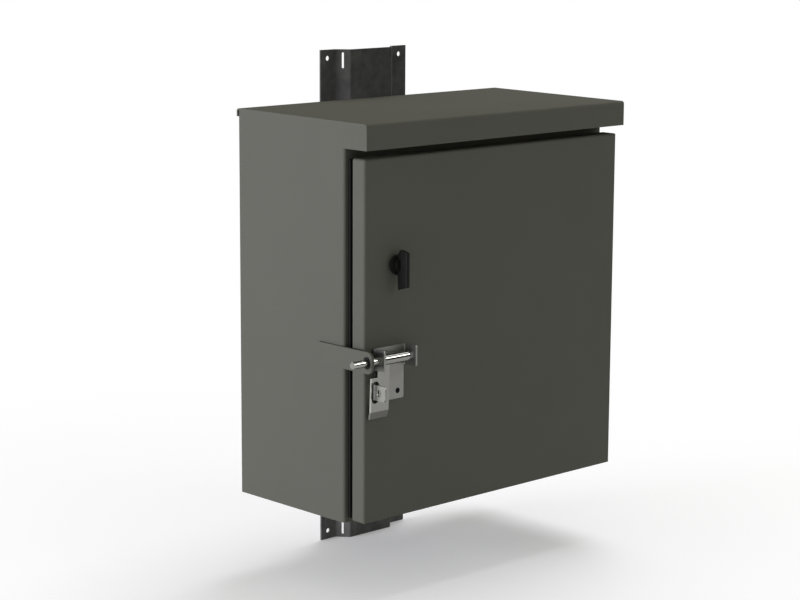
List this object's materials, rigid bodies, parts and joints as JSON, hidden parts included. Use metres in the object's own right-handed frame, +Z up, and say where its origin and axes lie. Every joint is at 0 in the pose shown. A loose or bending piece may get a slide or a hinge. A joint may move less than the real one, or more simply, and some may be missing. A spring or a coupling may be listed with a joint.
{
  "type": "weatherproof enclosure",
  "caption": "Folded sheet-metal weatherproof enclosure under a drip hood, with a hinged gasketed tray door, wing-knob latch, slide-bolt hasp and a hat-section rail for a wall or pole.",
  "frame": {"origin": "middle of the four wall holes, on the wall face of the mounting rail", "axes": "+Z up along the rail, +Y back into the wall, +X to the right seen from the door side"},
  "size_m": [0.4355, 0.2436, 0.586],
  "materials": {
    "grey_paint": "grey-green polyester powder coat, fine texture, low sheen",
    "stainless_steel": "bright stainless steel, drawn rod and pressed sheet",
    "zinc_plate": "bright zinc-plated steel",
    "galvanised_steel": "weathered dark galvanised steel, mottled",
    "brass": "plain brass",
    "black_rubber": "black foam and rubber seals",
    "black_plastic": "black moulded nylon, fine grain",
    "black_steel": "blackened steel screws"
  },
  "bodies": {
    "enclosure": {"body_shell": "grey_paint", "floor_pan": "grey_paint", "front_header": "grey_paint", "roof_hood": "grey_paint", "hasp_arm": "grey_paint", "eye_bush": "black_plastic", "keeper_pin": "stainless_steel", "mounting_rail": "galvanised_steel", "rail_bolts": "zinc_plate", "rail_spacers": "zinc_plate", "rail_washers": "black_rubber", "rail_nuts": "zinc_plate", "mounting_panel": "zinc_plate", "panel_studs": "zinc_plate", "panel_spacers": "zinc_plate", "panel_nuts": "zinc_plate", "earth_stud": "brass", "earth_nut": "brass", "rim_trim": "black_rubber", "hinge_leaf_body": "stainless_steel", "hinge_pin": "stainless_steel"},
    "door": {"hinge_leaf_door": "stainless_steel", "door_panel": "grey_paint", "door_gasket": "black_rubber", "latch_housing": "black_plastic", "latch_seal": "black_rubber", "latch_nut": "zinc_plate", "hasp_bracket": "stainless_steel", "bracket_screws": "black_steel", "bracket_nuts": "zinc_plate"},
    "latch": {"latch_knob": "black_plastic", "latch_spindle": "zinc_plate", "latch_cam": "zinc_plate", "cam_screw": "zinc_plate"},
    "slide_bolt": {"slide_bolt": "stainless_steel", "bolt_clip": "zinc_plate"},
    "hasp_leaf": {"hasp_leaf": "stainless_steel"}
  },
  "joints": [
    {"name": "door_swing", "type": "hinge", "parent": "enclosure", "child": "door", "pos_m": [0.2035, -0.1975, -0.0024], "axis": [0, 0, 1], "range_deg": [0, 135]},
    {"name": "latch_turn", "type": "hinge", "parent": "door", "child": "latch", "pos_m": [-0.155, -0.225, 0.0801], "axis": [0, 1, 0], "range_deg": [0, 90]},
    {"name": "bolt_slide", "type": "slide", "parent": "door", "child": "slide_bolt", "axis": [-1, 0, 0], "range_m": [0, 0.004]},
    {"name": "leaf_swing", "type": "hinge", "parent": "door", "child": "hasp_leaf", "pos_m": [-0.1729, -0.2335, -0.0193], "axis": [-1, 0, 0], "range_deg": [0, 160]}
  ]
}
